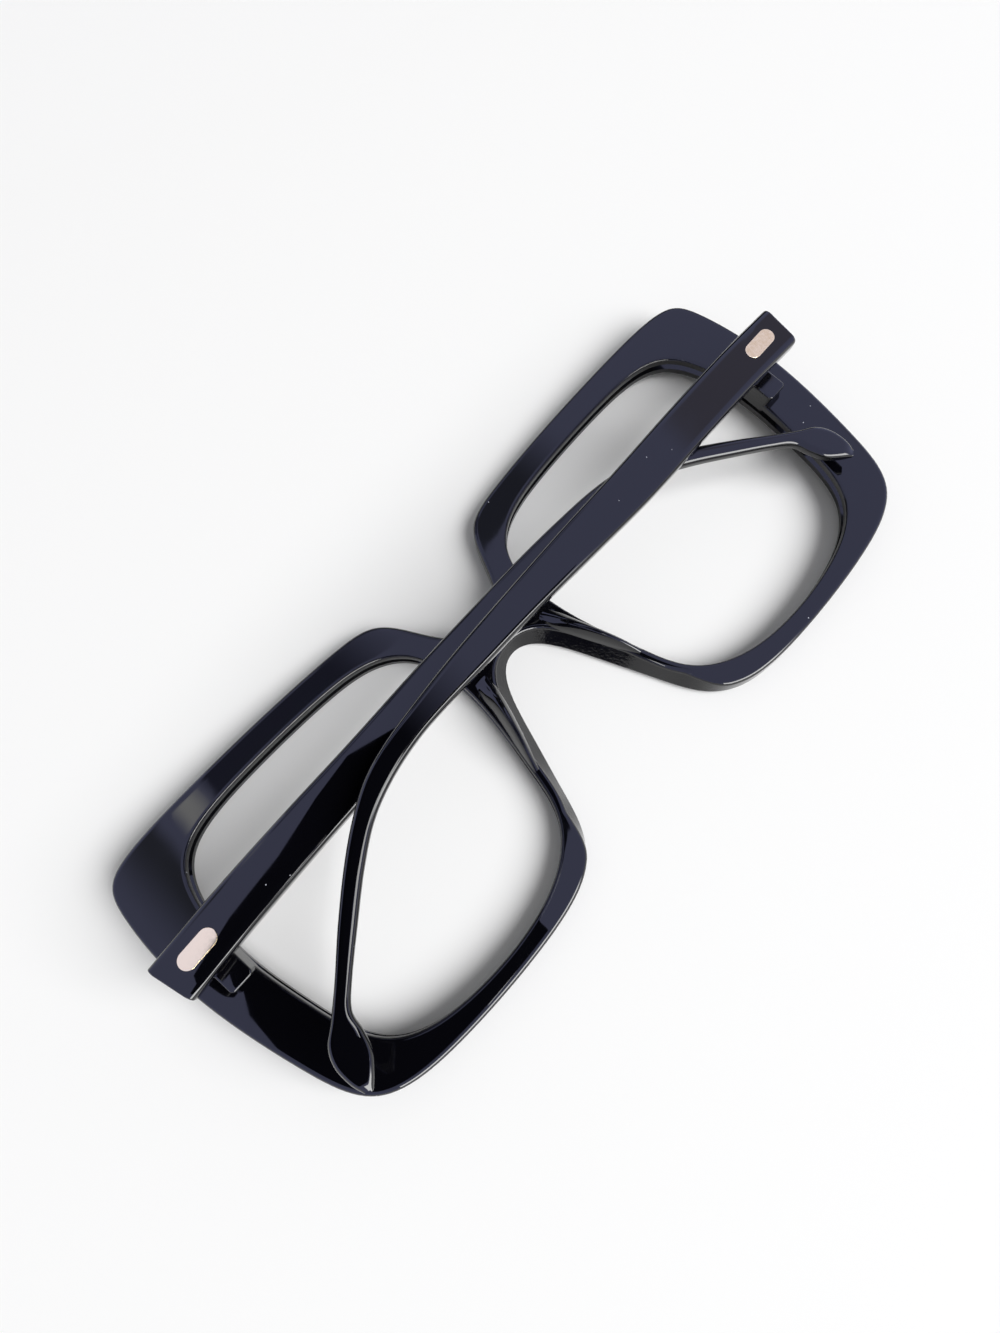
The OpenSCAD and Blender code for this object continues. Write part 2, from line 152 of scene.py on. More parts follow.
HALF_OUTLINE = [
    (0.226 * NOSE_X, BRIDGE_BOTTOM + 0.3),
    (0.566 * NOSE_X, BRIDGE_BOTTOM - 0.4 * NOSE_X),
    *((NOSE_X + x * (HALF_W - NOSE_X), y * HALF_H) for x, y in RIM_SHAPE),
    (0.566 * NOSE_X, BRIDGE_TOP + 0.217 * NOSE_X),
    (0.189 * NOSE_X, BRIDGE_TOP - 0.3),
]
OUTLINE_POINTS = [np.array(p, float) for p in HALF_OUTLINE]
OUTLINE_POINTS += [np.array([-x, y], float) for x, y in reversed(HALF_OUTLINE)]

# Edges of a temple. Arm: share of its length, and height above the straight line in millimetres
TOP_ARM = [
    (0, 0), (0.134, 0.4), (0.287, 0.35), (0.44, 0.05), (0.593, -0.05), (0.735, -0.4), (0.857, -0.8),
    (0.959, -1.5),
]
LOW_ARM = [
    (0, 0), (0.134, 0.4), (0.287, 0.5), (0.43, 0.45), (0.572, 1.1), (0.715, 1.8), (0.837, 2.05),
    (0.939, 2.25),
]
# Ear part: share of its length, and share of its drop
TOP_EAR = [
    (0.09, 0.073), (0.24, 0.118), (0.375, 0.2), (0.513, 0.309), (0.663, 0.448), (0.8, 0.588), (0.9, 0.682),
    (0.965, 0.739), (0.998, 0.812), (1.003, 0.903), (0.993, 0.97),
]
LOW_EAR = [
    (0.012, 0.176), (0.17, 0.209), (0.318, 0.27), (0.465, 0.376), (0.62, 0.512), (0.753, 0.633),
    (0.83, 0.718), (0.85, 0.803), (0.878, 0.888), (0.923, 0.948), (0.965, 0.99),
]
EAR_EDGES = [
    [np.array([ARM_L + u * EAR_L, -w * EAR_DROP]) for u, w in shares] for shares in (TOP_EAR, LOW_EAR)
]
TOP_EDGE = [np.array([u * ARM_L, w]) for u, w in TOP_ARM] + EAR_EDGES[0]
LOW_EDGE = [np.array([u * ARM_L, w - TEMPLE_H]) for u, w in LOW_ARM] + EAR_EDGES[1]
STATION_N = len(TOP_EDGE) - 1
FIRST_STATION = TOP_ARM[1][0] * ARM_L
# Rings to each point of the edges, rings on the rounded butt, and the last points, where the tip thins
TEMPLE_STEPS = 8
BUTT_STEPS = 6
TIP_STATIONS = 1.4

# Nose pad: share of its length, the two sides of its foot from the nose line, and share of its height
PAD_SHAPE = [
    (0, -3.9, -1.5, 0.1), (0.15, -3.7, -0.5, 0.5), (0.32, -2.9, 0.1, 0.9), (0.55, -1.4, 1.1, 1),
    (0.78, 0.3, 2.2, 0.75), (1, 2.2, 3.1, 0.1),
]
PAD_SECTION = [(0, 0), (0.10, 0.45), (0.28, 0.85), (0.45, 1), (0.62, 0.93), (0.82, 0.6), (1, 0)]
PAD_H = 3.0
PAD_L = 17.0
PAD_TOP_Y = BRIDGE_BOTTOM + 0.2
PAD_STEPS = 8
PAD_SECTION_STEPS = 6

# Distances in metres: points closer than this are one, in the sweep and at the mirror's plane
WELD = 1e-7
MERGE = 1e-6
# In millimetres: how far a cutter stands past the face that it cuts, and its round for a sharp seat
OVERCUT = 1.0
SHARP_R = 0.01


# Curves
def smooth_at(points, t):
    """Point of the closed smooth curve that has these control points."""
    n, i = len(points), int(math.floor(t))
    f = t - i
    a, b, c, d = (points[(i + k) % n] for k in range(4))
    middle = (3 * f**3 - 6 * f**2 + 4) * b + (-3 * f**3 + 3 * f**2 + 3 * f + 1) * c
    return ((1 - f) ** 3 * a + middle + f**3 * d) / 6


def through_at(points, t):
    """Point of the open smooth curve that passes through these points."""
    n = len(points) - 1
    i = min(int(math.floor(t)), n - 1)
    f = t - i
    a, b, c, d = (np.asarray(points[min(max(i + k, 0), n)], float) for k in (-1, 0, 1, 2))
    return b + f * ((c - a) / 2 + f * ((2 * a - 5 * b + 4 * c - d) / 2 + f * (3 * b - a - 3 * c + d) / 2))


def smooth_step(low, high, x):
    """0 up to low, 1 from high, and a smooth rise between them."""
    t = min(max((x - low) / (high - low), 0), 1)
    return t * t * (3 - 2 * t)


def lift(x):
    """Height that the curve of the front gives to a point at x."""
    return FRONT_RISE * (x / HALF_W) ** 2


def ray_hit(curve, start, toward):
    """Where the ray from start meets the closed curve, and the curve's inward normal there."""
    rel = curve - start
    after = np.roll(rel, -1, 0)
    s = toward[0] * rel[:, 1] - toward[1] * rel[:, 0]
    e = toward[0] * after[:, 1] - toward[1] * after[:, 0]
    for i in np.nonzero((s <= 0) & (e > 0))[0]:
        hit = rel[i] + (after[i] - rel[i]) * s[i] / (s[i] - e[i])
        if hit @ toward > 0:
            along = (after[i] - rel[i]) / np.linalg.norm(after[i] - rel[i])
            return start + hit, np.array([-along[1], along[0]])


def arc(x, y, r, start, end, steps=8):
    """Points of an arc round (x, y), with its ends in degrees."""
    turns = np.radians(np.linspace(start, end, steps + 1))
    return [(x + r * math.cos(a), y + r * math.sin(a)) for a in turns]


def between(a, b, shares=(0.25, 0.5, 0.75)):
    """Points at these shares of the way from a to b."""
    return [tuple(np.array(a) * (1 - k) + np.array(b) * k) for k in shares]


# Modelling by hand: everything that an operator must not touch is left unselected
def clear_selection():
    for o in bpy.context.scene.objects:
        o.select_set(False)


def pick(obj):
    clear_selection()
    obj.select_set(True)
    bpy.context.view_layer.objects.active = obj


def edit(obj, what="VERT"):
    pick(obj)
    bpy.ops.object.mode_set(mode="EDIT")
    bpy.ops.mesh.select_mode(type=what)


def leave_edit():
    bpy.ops.object.mode_set(mode="OBJECT")


def select_where(obj, kind, test):
    """In edit mode, selects only the vertices, edges or faces for which test is true."""
    bpy.ops.mesh.select_all(action="DESELECT")
    bpy.ops.object.mode_set(mode="OBJECT")
    for item in getattr(obj.data, kind):
        item.select = test(item)
    bpy.ops.object.mode_set(mode="EDIT")


def laid_circle(name, points):
    """A circle with one corner for each point, laid on the points."""
    clear_selection()
    bpy.ops.mesh.primitive_circle_add(vertices=len(points), radius=HALF_H * MM)
    obj = bpy.context.object
    obj.name = name
    obj.data.name = name
    for v, p in zip(obj.data.vertices, points):
        v.co = p
    return obj


def apply_modifier(obj, kind, **settings):
    pick(obj)
    mod = obj.modifiers.new(kind.title(), kind)
    for key, value in settings.items():
        setattr(mod, key, value)
    bpy.ops.object.modifier_apply(modifier=mod.name)


def cut_away(obj, cutter, how="DIFFERENCE"):
    """Cuts the cutter out of the piece, or joins it on, and removes the cutter."""
    apply_modifier(obj, "BOOLEAN", object=cutter, operation=how, solver="EXACT")
    bpy.data.objects.remove(cutter)


def polished(obj, angle=35):
    """Smooth shading that keeps flat faces flat between their rounded edges."""
    pick(obj)
    bpy.ops.object.shade_smooth_by_angle(angle=math.radians(angle))
    apply_modifier(obj, "WEIGHTED_NORMAL", weight=100, keep_sharp=True)


def box_between(low, high):
    """A box between two corners in millimetres."""
    clear_selection()
    bpy.ops.mesh.primitive_cube_add(size=1)
    obj = bpy.context.object
    for v in obj.data.vertices:
        v.co = [(low[k] if v.co[k] < 0 else high[k]) * MM for k in range(3)]
    return obj


def extruded(name, rings):
    """A circle laid on the first ring and extruded from ring to ring."""
    obj = laid_circle(name, rings[0])
    n = len(rings[0])
    for ring in rings[1:]:
        edit(obj)
        bpy.ops.mesh.extrude_region_move()
        leave_edit()
        first = len(obj.data.vertices) - n
        for v, p in zip(obj.data.vertices[first:], ring):
            v.co = p
        for v in obj.data.vertices:
            v.select = v.index >= first
    return obj


def swept(name, rings):
    """The same, closed at both ends."""
    obj = extruded(name, rings)
    n = len(rings[0])
    edit(obj)
    for end in (0, len(obj.data.vertices) - n):
        select_where(obj, "vertices", lambda v: end <= v.index < end + n)
        bpy.ops.mesh.edge_face_add()
    bpy.ops.mesh.select_all(action="SELECT")
    bpy.ops.mesh.normals_make_consistent(inside=False)
    leave_edit()
    return obj


def place(obj, matrix):
    """Puts the piece's place into its mesh."""
    obj.data.transform(matrix)
    obj.data.update()
    if matrix.determinant() < 0:
        obj.data.flip_normals()


# Places of the hinges, from the joints of the frame
MIRROR = Matrix.Scale(-1, 4, (1, 0, 0))


def hinge_frames():
    """For each side, the matrices of its pin, of its folded temple and of the block that carries it."""
    frames = {}
    for side, rest in (("right", FOLD_OVER), ("left", FOLD_UNDER)):
        joint = next(j for j in frame["joints"] if j["name"] == "hinge_" + side)
        pin = Vector(joint["pos_m"])
        axis = Vector(joint["axis"]).normalized()
        if side == "left":
            pin.x = -pin.x
            axis = Vector((axis.x, -axis.y, -axis.z))
        # The lean turns the hinge in the plane of the temple, after the tilt about X
        tilt = Matrix.Rotation(math.radians(PANTOSCOPIC), 4, "X")
        flat = tilt.inverted() @ axis
        lean = Matrix.Rotation(math.atan2(-flat.x, flat.y), 4, "Z")
        pin_frame = Matrix.Translation(pin) @ tilt @ lean
        temple_frame = pin_frame @ Matrix.Rotation(math.radians(rest), 4, "Y")
        block_frame = Matrix.Translation(pin) @ tilt
        mirror = MIRROR if side == "left" else Matrix.Identity(4)
        frames[side] = {
            "pin": mirror @ pin_frame,
            "temple": mirror @ temple_frame,
            "block": mirror @ block_frame,
            "height": pin.z / MM,
            "x": pin.x / MM,
        }
    return frames


HINGES = hinge_frames()
PIN_X = HINGES["right"]["x"]
PIN_Z = HINGES["right"]["height"]
TEMPLE_IN = PIN_TO_FACE - TEMPLE_T
BACK_Z = lift(PIN_X + PIN_TO_FACE - TEMPLE_T / 2) + SHEET_T
BUTT_REACH = (PIN_Z - BACK_Z) / math.cos(math.radians(PANTOSCOPIC)) - RUN_GAP
BUTT_TOP = BUTT_REACH + TEMPLE_H / 2 * math.tan(math.radians(PANTOSCOPIC))
BUTT_SLOPE = math.atan(2 * FRONT_RISE * (PIN_X + PIN_TO_FACE) / HALF_W / HALF_W)
BLOCK_TOP = -KNUCKLE_R - KNUCKLE_CLEAR
BLOCK_IN = -(PIN_X - LENS_MID[0] - LENS_W / 2) - BLOCK_LAP
BLOCK_OUT = TEMPLE_IN - BLOCK_GAP
ARM_START = -KNUCKLE_R - KNUCKLE_CLEAR


# Front
def leaf_seat(gap):
    """Cutter for the seat of the front leaf in its block."""
    low = (BLOCK_IN + PLATE_FROM_LENS - gap, -PLATE_W / 2 - gap, BLOCK_TOP - PLATE_T)
    high = (BLOCK_OUT - PLATE_FROM_TEMPLE + gap, PLATE_W / 2 + gap, BLOCK_TOP + OVERCUT)
    return box_between(low, high)


def hinge_block(side):
    """Acetate block that carries a hinge: a box with rounded corners and a small round on its top."""
    low = (BLOCK_IN, -BLOCK_W / 2 - BLOCK_DROP, BACK_Z - PIN_Z - BLOCK_SINK)
    high = (BLOCK_OUT, BLOCK_W / 2 - BLOCK_DROP, BLOCK_TOP)
    block = box_between(low, high)
    block.name = "hinge_block_" + side

    def is_upright(edge):
        a, b = (block.data.vertices[i].co.z for i in edge.vertices)
        return abs(a - b) > MM

    edit(block, "EDGE")
    select_where(block, "edges", is_upright)
    bpy.ops.mesh.bevel(offset=BLOCK_R * MM, segments=6, affect="EDGES")
    top = BLOCK_TOP * MM - MERGE
    select_where(block, "polygons", lambda f: f.center.z > top)
    bpy.ops.mesh.region_to_loop()
    bpy.ops.mesh.bevel(offset=BLOCK_TOP_R * MM, segments=5, affect="EDGES")
    leave_edit()
    place(block, HINGES[side]["block"])
    return block


def splay_at(p):
    """Set-back of the rear edge of the sheet, which slopes the sides that meet the nose."""
    if p[1] > BRIDGE_BOTTOM + SPLAY_MARGIN:
        return 0
    full = NOSE_X + SPLAY_MARGIN
    fade = 1 - smooth_step(full, full + SPLAY_FADE, p[0])
    return NOSE_SPLAY * fade * (0.5 + 0.5 * smooth_step(0, NOSE_X / 2, p[0]))


def outer_ends():
    """For each column of the sweep, the outer end of its section and the way from there into the sheet.

    The first columns end on the middle plane, where the two halves meet. The others end on the outline.
    """
    n = len(HALF_OUTLINE)
    steps = RIM_STEPS * n
    rim_at = lambda j: smooth_at(OUTLINE_POINTS, 2 * n - 1.5 + n * j / steps)
    high, low = rim_at(steps)[1], rim_at(0)[1]
    # The columns that stand upright between the two edges keep clear of their rounds and of the slope
    low_clear = low + EDGE_R + splay_at((0, low)) + CLEAR
    upright = np.linspace(high - EDGE_R - CLEAR, low_clear, SEAM_STEPS)
    ends = [((0, high), (0, -1)), *(((0, y), (0, 0)) for y in upright), ((0, low), (0, 1))]
    for j in range(1, steps):
        v = rim_at(j + 0.5) - rim_at(j - 0.5)
        ends.append((rim_at(j), (-v[1] / np.linalg.norm(v), v[0] / np.linalg.norm(v))))
    return [(np.array(p, float), np.array(d, float)) for p, d in ends]


def front_rows():
    """Rows of points round the opening: its grooved wall, rear face, outer wall and front face."""
    front_r, rear_r = 0.6 * EDGE_R, 0.7 * EDGE_R
    groove = SHEET_T / 2
    lens_side = arc(front_r, front_r, front_r, 270, 180)
    lens_side += [(0, groove - GROOVE_W / 2), (GROOVE_D, groove), (0, groove + GROOVE_W / 2)]
    lens_side += arc(rear_r, SHEET_T - rear_r, rear_r, 180, 90)
    out_side = arc(EDGE_R, SHEET_T - EDGE_R, EDGE_R, 90, 180) + arc(EDGE_R, EDGE_R, EDGE_R, 180, 270)
    places = [i * len(LENS_POINTS) / LENS_SAMPLES for i in range(LENS_SAMPLES)]
    lens = np.array([smooth_at(LENS_POINTS, t) for t in places])
    columns = []
    for end, inward in outer_ends():
        wall, wall_in = ray_hit(lens, HUB, end - HUB)
        inner = [(*(wall - wall_in * s), z) for s, z in lens_side]
        # Where the rim is narrow, the slope stops short of the round at the opening
        rim_w = np.linalg.norm(lens - end, axis=1).min()
        splay = min(splay_at(end), rim_w - rear_r - EDGE_R - CLEAR)
        outer = []
        for s, z in out_side:
            slope = min(max((z - EDGE_R) / (SHEET_T - 2 * EDGE_R), 0), 1)
            outer.append((*(end + inward * (s + splay * slope)), z))
        rear_face = between(inner[-1], outer[0])
        front_face = between(outer[-1], inner[0])
        columns.append(inner + rear_face + outer + front_face)
    raised = [[(x * MM, y * MM, (z + lift(x)) * MM) for x, y, z in column] for column in columns]
    return [list(row) for row in zip(*raised)]


def front_piece():
    """The front: a section swept round one opening, mirrored, with the hinge blocks joined on."""
    rows = front_rows()
    front = extruded("front", rows + rows[:1])
    edit(front, "VERT")
    bpy.ops.mesh.select_all(action="SELECT")
    bpy.ops.mesh.remove_doubles(threshold=WELD)
    leave_edit()
    edit(front, "FACE")
    verts = front.data.vertices
    select_where(front, "polygons", lambda f: all(abs(verts[i].co.x) < WELD for i in f.vertices))
    bpy.ops.mesh.delete(type="FACE")
    bpy.ops.mesh.select_all(action="SELECT")
    bpy.ops.mesh.normals_make_consistent(inside=False)
    leave_edit()
    apply_modifier(front, "MIRROR", use_clip=True, merge_threshold=MERGE)
    for side in ("right", "left"):
        cut_away(front, hinge_block(side), "UNION")
        seat = leaf_seat(SEAT_GAP)
        place(seat, HINGES[side]["pin"])
        cut_away(front, seat)
    polished(front)
    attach(front, "front_assembly")
    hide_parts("front")
    return front


# Temples
def rounded_section(x0, x1, y0, y1, r, steps=8):
    """Points round a rectangle with rounded corners."""
    corners = ((x1 - r, y1 - r, 0), (x0 + r, y1 - r, 90), (x0 + r, y0 + r, 180), (x1 - r, y0 + r, 270))
    angles = np.radians(np.linspace(0, 90, steps + 1))
    return [
        (x + r * math.cos(math.radians(turn) + a), y + r * math.sin(math.radians(turn) + a))
        for x, y, turn in corners
        for a in angles
    ]


def thickness_at(u):
    """Thickness of a temple at this distance from its butt."""
    if u < ARM_L:
        return TEMPLE_T + (BEND_T - TEMPLE_T) * smooth_step(0, ARM_L, u)
    return BEND_T + (TIP_T - BEND_T) * smooth_step(ARM_L, ARM_L + EAR_L - TIP_FLAT, u)


def temple_ring(t, inset=0):
    """Section of a temple at a station, drawn in by the inset on all sides."""
    a, b = through_at(TOP_EDGE, t), through_at(LOW_EDGE, t)
    height = np.linalg.norm(a - b)
    mid, v = (a + b) / 2, (a - b) / height
    h = height / 2 - inset
    # The end of the tip is tumbled thinner on both faces
    ease = TIP_EASE * smooth_step(STATION_N - TIP_STATIONS, STATION_N, t) ** 2
    th = thickness_at(mid[0]) - 2 * ease
    r = min(TEMPLE_R, h * 0.8, th * 0.42)
    top = PIN_TO_FACE - ease
    # The butt is mitred so that it lies flat on the back of the front when the temple is open
    fade = 1 - smooth_step(0, 1, t)
    ring = []
    for n, w in rounded_section(top - th + inset / 2, top - inset / 2, -h, h, r):
        q = mid + v * w
        mitre = -q[1] * math.tan(math.radians(PANTOSCOPIC)) + (n - TEMPLE_IN) * math.tan(BUTT_SLOPE)
        ring.append(((BUTT_TOP - q[0] - fade * mitre) * MM, (TEMPLE_H / 2 + q[1]) * MM, n * MM))
    return ring


def butt_rings():
    """Rings over the polished edge of the butt, each drawn in a little less than the one before."""
    rings = []
    for a in np.radians(np.linspace(0, 90, BUTT_STEPS + 1))[:-1]:
        station = BUTT_R * (1 - math.cos(a)) / FIRST_STATION
        rings.append(temple_ring(station, BUTT_R * (1 - math.sin(a))))
    return rings


def inlay_solid(name, gap, edge_r):
    """Flat bar with round ends in the outer face of a temple: its cutter with a gap, the inlay without."""
    r, half = INLAY_W / 2 + gap, (INLAY_L - INLAY_W) / 2
    x, y = BUTT_TOP - INLAY_AT, (TOP_ARM[1][1] + LOW_ARM[1][1]) / 2
    bottom, top = PIN_TO_FACE - INLAY_DEPTH, PIN_TO_FACE + INLAY_PROUD
    levels = [(bottom - gap, 0)]
    levels += [(top - edge_r + z, edge_r - s) for s, z in arc(0, 0, edge_r, 0, 90, 5)]
    rings = []
    for z, inset in levels:
        ends = arc(half, 0, r - inset, -90, 90, 24) + arc(-half, 0, r - inset, 90, 270, 24)
        rings.append([((x + px) * MM, (y + py) * MM, z * MM) for px, py in ends])
    return swept(name, rings)


def inlay_piece(side):
    inlay = inlay_solid("temple_inlay_" + side, 0, INLAY_EDGE_R)
    place(inlay, HINGES[side]["temple"])
    polished(inlay)
    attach(inlay, "temple_assembly_" + side)
    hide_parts("temple_inlay_" + side)
    return inlay


def temple_piece(side):
    """Temple with its round butt, the seat of its leaf, the slot for the knuckles and the inlay's seat."""
    first = BUTT_R / FIRST_STATION
    places = [max(i / TEMPLE_STEPS, first) for i in range(STATION_N * TEMPLE_STEPS + 1)]
    temple = swept("temple_" + side, butt_rings() + [temple_ring(t) for t in places])
    gap = SEAT_GAP
    plate_top = TEMPLE_IN + PLATE_T + gap
    plate = box_between(
        (ARM_START - TEMPLE_PLATE_L - gap, -PLATE_W / 2 - gap, TEMPLE_IN - OVERCUT),
        (ARM_START + gap, PLATE_W / 2 + gap, plate_top),
    )
    cut_away(temple, plate)
    slot_half = STACK_L / 2 + SLOT_GAP
    cut_away(temple, box_between((ARM_START - gap, -slot_half, -OVERCUT), (gap, slot_half, plate_top)))
    cut_away(temple, inlay_solid("inlay_seat", gap, SHARP_R))
    place(temple, HINGES[side]["temple"])
    polished(temple)
    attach(temple, "temple_assembly_" + side)
    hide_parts("temple_" + side)
    return temple


# Nose pads
def pad_ring(t):
    """Section of a nose pad, from one side of its foot over its ridge to the other."""
    share, left, right, tall = through_at(PAD_SHAPE, t)
    y = PAD_TOP_Y - share * PAD_L
    a, b = NOSE_X + left, NOSE_X + right
    z = SHEET_T + lift(b) + SEAT_GAP
    steps = PAD_SECTION_STEPS
    points = [through_at(PAD_SECTION, k / steps) for k in range(steps * (len(PAD_SECTION) - 1) + 1)]
    return [((a + (b - a) * u) * MM, y * MM, (z + PAD_H * tall * h) * MM) for u, h in points]


def nose_pad_piece(side):
    ring_n = (len(PAD_SHAPE) - 1) * PAD_STEPS + 1
    rings = [pad_ring(i / PAD_STEPS) for i in range(ring_n)]
    pad = swept("nose_pad_" + side, rings)
    if side == "left":
        place(pad, MIRROR)
    polished(pad, angle=50)
    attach(pad, "front_assembly")
    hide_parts("nose_pad_" + side)
    return pad


# Materials
def linear(hex_colour):
    """sRGB hex to linear RGBA."""
    values = [int(hex_colour[i : i + 2], 16) / 255 for i in (1, 3, 5)]
    return (*(v / 12.92 if v <= 0.04045 else ((v + 0.055) / 1.055) ** 2.4 for v in values), 1)


def add_node(tree, kind, settings=None, links=None):
    """Adds a node, gives its sockets and properties these values, and links its inputs."""
    node = tree.nodes.new(kind)
    for key, value in (settings or {}).items():
        if isinstance(key, int) or key in node.inputs:
            node.inputs[key].default_value = value
        else:
            setattr(node, key, value)
    for key, source in (links or {}).items():
        tree.links.new(source, node.inputs[key])
    return node


def new_material(name):
    material = bpy.data.materials.new(name)
    material.use_nodes = True
    material.node_tree.nodes.clear()
    return material, material.node_tree


def dress(obj, material):
    obj.data.materials.clear()
    obj.data.materials.append(material)


# Surface of the acetate: sizes in millimetres, then roughness and the share of cells with dust
WAVE_L = 12.0
WAVE_DEPTH = 0.012
GRAIN_L = 0.45
GRAIN_DEPTH = 0.03
PATCH_L = 7.0
DUST_CELL = 3.0
DUST_R = 0.102
BUFFED = 0.03
HANDLED = 0.09
DUST_SHARE = 0.45


def cut_wall_grain(tree, at, buffed):
    """Fine grain on the walls that the cutter left upright, where the cloth of the buff hardly reaches."""
    face = add_node(tree, "ShaderNodeNewGeometry").outputs["True Normal"]
    facing = add_node(tree, "ShaderNodeSeparateXYZ", None, {"Vector": face})
    flatness = add_node(tree, "ShaderNodeMath", {"operation": "ABSOLUTE"}, {0: facing.outputs["Z"]})
    share = add_node(
        tree,
        "ShaderNodeMapRange",
        {"From Min": 0.6, "From Max": 0.75, "To Min": 1.0, "To Max": 0.0},
        {"Value": flatness.outputs[0]},
    )
    grain = add_node(
        tree, "ShaderNodeTexNoise", {"Scale": 1 / (GRAIN_L * MM), "Detail": 2.0}, {"Vector": at}
    )
    return add_node(
        tree,
        "ShaderNodeBump",
        {"Distance": GRAIN_DEPTH * MM},
        {"Height": grain.outputs["Fac"], "Strength": share.outputs["Result"], "Normal": buffed},
    )


def dusted(tree, at, clean):
    """The shader with dust on it: pale specks 0.2 mm across, in less than half of the cells."""
    cells = add_node(tree, "ShaderNodeTexVoronoi", {"Scale": 1 / (DUST_CELL * MM)}, {"Vector": at})
    near = add_node(
        tree,
        "ShaderNodeMath",
        {"operation": "LESS_THAN", 1: DUST_R / DUST_CELL},
        {0: cells.outputs["Distance"]},
    )
    picked = add_node(tree, "ShaderNodeSeparateColor", None, {"Color": cells.outputs["Color"]})
    few = add_node(
        tree,
        "ShaderNodeMath",
        {"operation": "GREATER_THAN", 1: 1 - DUST_SHARE},
        {0: picked.outputs["Red"]},
    )
    speck = add_node(
        tree, "ShaderNodeMath", {"operation": "MULTIPLY"}, {0: near.outputs[0], 1: few.outputs[0]}
    )
    dust = add_node(tree, "ShaderNodeBsdfPrincipled", {"Base Color": linear("#b4b6c0"), "Roughness": 0.9})
    return add_node(
        tree, "ShaderNodeMixShader", None, {0: speck.outputs[0], 1: clean, 2: dust.outputs["BSDF"]}
    )


def black_acetate(name, cut_walls=False):
    """Cellulose acetate, cut from sheet, tumbled and buffed: black all through, with a wet gloss."""
    material, tree = new_material(name)
    at = add_node(tree, "ShaderNodeTexCoord").outputs["Object"]
    # Buffing leaves waves some 12 mm long and about a hundredth of a millimetre deep
    waves = add_node(
        tree, "ShaderNodeTexNoise", {"Scale": 1 / (WAVE_L * MM), "Detail": 1.0}, {"Vector": at}
    )
    bump = add_node(
        tree,
        "ShaderNodeBump",
        {"Strength": 1.0, "Distance": WAVE_DEPTH * MM},
        {"Height": waves.outputs["Fac"]},
    )
    if cut_walls:
        bump = cut_wall_grain(tree, at, bump.outputs["Normal"])
    # Handling leaves some patches a little less glossy than others
    wiped = add_node(
        tree, "ShaderNodeTexNoise", {"Scale": 1 / (PATCH_L * MM), "Detail": 4.0}, {"Vector": at}
    )
    gloss = add_node(
        tree,
        "ShaderNodeMapRange",
        {"From Min": 0.4, "From Max": 0.7, "To Min": BUFFED, "To Max": HANDLED},
        {"Value": wiped.outputs["Fac"]},
    )
    polish = add_node(
        tree,
        "ShaderNodeBsdfPrincipled",
        {"Base Color": linear("#06060a"), "IOR": 1.49},
        {"Normal": bump.outputs["Normal"], "Roughness": gloss.outputs["Result"]},
    )
    mix = dusted(tree, at, polish.outputs["BSDF"])
    add_node(tree, "ShaderNodeOutputMaterial", None, {"Surface": mix.outputs["Shader"]})
    return material


def metal(name, colour, roughness, mark_size, mark_depth):
    """Metal with the marks of its last tool: their size along X, Y and Z and their depth in millimetres."""
    material, tree = new_material(name)
    at = add_node(tree, "ShaderNodeTexCoord").outputs["Object"]
    scale = [1 / (size * MM) for size in mark_size]
    laid = add_node(tree, "ShaderNodeMapping", {"Scale": scale}, {"Vector": at})
    marks = add_node(
        tree, "ShaderNodeTexNoise", {"Scale": 1.0, "Detail": 2.0}, {"Vector": laid.outputs["Vector"]}
    )
    bump = add_node(
        tree,
        "ShaderNodeBump",
        {"Strength": 1.0, "Distance": mark_depth * MM},
        {"Height": marks.outputs["Fac"]},
    )
    dull = add_node(
        tree,
        "ShaderNodeMapRange",
        {"From Min": 0.3, "From Max": 0.7, "To Min": 0.7 * roughness, "To Max": 1.3 * roughness},
        {"Value": marks.outputs["Fac"]},
    )
    shader = add_node(
        tree,
        "ShaderNodeBsdfPrincipled",
        {"Base Color": linear(colour), "Metallic": 1.0},
        {"Roughness": dull.outputs["Result"], "Normal": bump.outputs["Normal"]},
    )
    add_node(tree, "ShaderNodeOutputMaterial", None, {"Surface": shader.outputs["BSDF"]})
    return material


def white_board():
    """Matt white board, which keeps the soft shadow of the frame."""
    material, tree = new_material("white_board")
    shader = add_node(
        tree, "ShaderNodeBsdfPrincipled", {"Base Color": linear("#f6f6f6"), "Roughness": 0.9, "IOR": 1.3}
    )
    add_node(tree, "ShaderNodeOutputMaterial", None, {"Surface": shader.outputs["BSDF"]})
    return material


# Stage, in metres except the cards, which are in millimetres
CAMERA_AT = Vector((-31.13, -27.61, 134.55)) * MM
CAMERA_RIGHT = Vector((0.6616, -0.7483, -0.0483))
CAMERA_DOWN = Vector((-0.7232, -0.6197, -0.3050))
CAMERA_FORWARD = Vector((0.1983, 0.2367, -0.9511))
CAMERA_LENS = 22.24
CAMERA_SENSOR = 36
CAMERA_NEAR = 0.005
LAMP_AT = Vector((1.25, -3.31, 3.54))
LAMP_SIZE = 4.2
LAMP_POWER = 318.0
TABLE_SIZE = 4
ROOM_COLOUR = "#cacfff"
ROOM_GLOSS = 1.4
ROOM_LIGHT = 0.28
DARK = "#1c1e28"
WHITE = "#ffffff"
CAMERA_Z = 25
FLAG_Z = 60
WALL_Z = 400


def make_table():
    clear_selection()
    bpy.ops.mesh.primitive_plane_add(size=TABLE_SIZE, location=(0, 0, 0))
    table = bpy.context.object
    table.name = "table"
    dress(table, white_board())


def level_card(z, outline):
    """Corners of a level card at a height, from its outline."""
    return [(x, y, z) for x, y in outline]


def upright_card(start, end, low, high):
    """Corners of a card that stands on the line from start to end."""
    return [(*start, low), (*end, low), (*end, high), (*start, high)]


